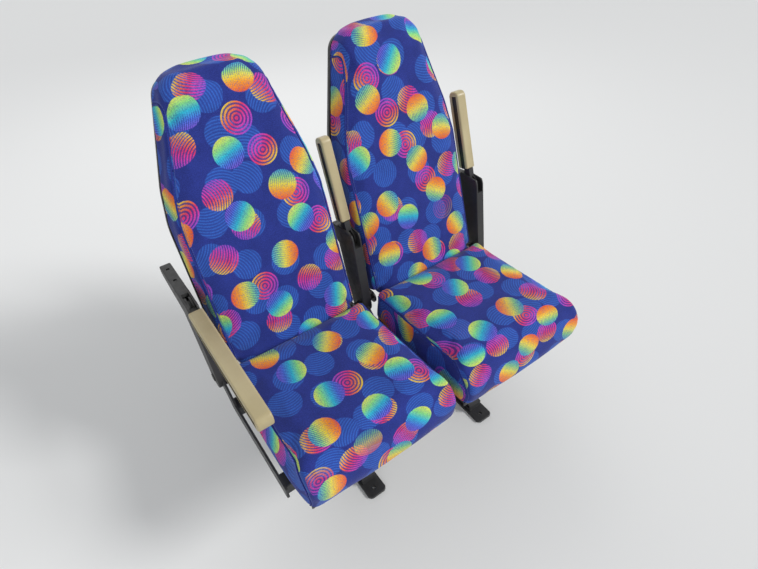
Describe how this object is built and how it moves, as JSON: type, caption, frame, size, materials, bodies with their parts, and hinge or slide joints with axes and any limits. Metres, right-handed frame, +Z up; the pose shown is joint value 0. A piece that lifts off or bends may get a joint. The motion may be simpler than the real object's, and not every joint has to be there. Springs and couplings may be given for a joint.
{
  "type": "coach double passenger seat",
  "caption": "High-backed double coach seat on floor legs, with reclining backs and folding armrests.",
  "frame": {"origin": "on the floor, in the middle of the four floor bolts", "axes": "+Z up, the seat faces -Y, +X towards the window side"},
  "size_m": [0.988, 0.7552, 1.1211],
  "materials": {
    "moquette": "short woven pile, royal blue with bright discs",
    "beige_moulding": "smooth moulded, satin",
    "black_moulding": "fine moulded grain",
    "black_steel": "satin powder coat"
  },
  "bodies": {
    "base": {"foot_aisle": "black_steel", "leg_aisle": "black_steel", "pan_aisle": "black_steel", "cushion_aisle": "moquette", "foot_window": "black_steel", "leg_window": "black_steel", "pan_window": "black_steel", "cushion_window": "moquette", "tube_front": "black_steel", "tube_rear": "black_steel", "upright_aisle": "black_steel", "housing_aisle": "black_moulding", "upright_centre": "black_steel", "housing_centre": "black_moulding", "upright_window": "black_steel", "housing_window": "black_moulding"},
    "back_aisle": {"back_pad_aisle": "moquette", "back_shell_aisle": "black_moulding", "brace_aisle": "black_steel", "hinge_outer_aisle": "black_steel", "hinge_inner_aisle": "black_steel"},
    "back_window": {"back_pad_window": "moquette", "back_shell_window": "black_moulding", "brace_window": "black_steel", "hinge_outer_window": "black_steel", "hinge_inner_window": "black_steel"},
    "arm_aisle": {"arm_core_aisle": "black_moulding", "arm_pad_aisle": "beige_moulding"},
    "arm_centre": {"arm_core_centre": "black_moulding", "arm_pad_centre": "beige_moulding"},
    "arm_window": {"arm_core_window": "black_moulding", "arm_pad_window": "beige_moulding"}
  },
  "joints": [
    {"name": "recline_aisle", "type": "hinge", "parent": "base", "child": "back_aisle", "pos_m": [-0.236, 0.17889, 0.3933], "axis": [-1, 0, 0], "range_deg": [0, 18]},
    {"name": "recline_window", "type": "hinge", "parent": "base", "child": "back_window", "pos_m": [0.236, 0.17889, 0.3933], "axis": [-1, 0, 0], "range_deg": [0, 18]},
    {"name": "fold_arm_aisle", "type": "hinge", "parent": "base", "child": "arm_aisle", "pos_m": [-0.476, 0.228, 0.617], "axis": [-1, 0, 0], "range_deg": [0, 108]},
    {"name": "fold_arm_centre", "type": "hinge", "parent": "base", "child": "arm_centre", "pos_m": [0, 0.228, 0.617], "axis": [-1, 0, 0], "range_deg": [-108, 0]},
    {"name": "fold_arm_window", "type": "hinge", "parent": "base", "child": "arm_window", "pos_m": [0.476, 0.228, 0.617], "axis": [-1, 0, 0], "range_deg": [-108, 0]}
  ]
}
